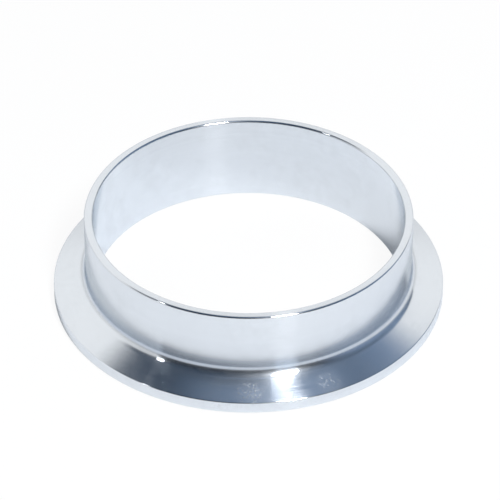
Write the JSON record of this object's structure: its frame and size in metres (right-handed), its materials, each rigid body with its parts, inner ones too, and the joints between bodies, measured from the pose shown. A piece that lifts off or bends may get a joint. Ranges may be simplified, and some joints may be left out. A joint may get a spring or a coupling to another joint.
{
  "type": "sanitary clamp ferrule",
  "caption": "Short stainless tube end with a bevelled clamp flange and a gasket groove, welded to a tube and clamped face to face with its twin.",
  "frame": {"origin": "centre of the bore at the gasket face, which it stands on", "axes": "+Z along the bore from the gasket face to the weld end; X and Y are equal, because the part is round"},
  "size_m": [0.091, 0.091, 0.0215],
  "materials": {
    "stainless_steel": "fine turned, lightly polished"
  },
  "bodies": {
    "root": {"ferrule": "stainless_steel"}
  },
  "joints": []
}
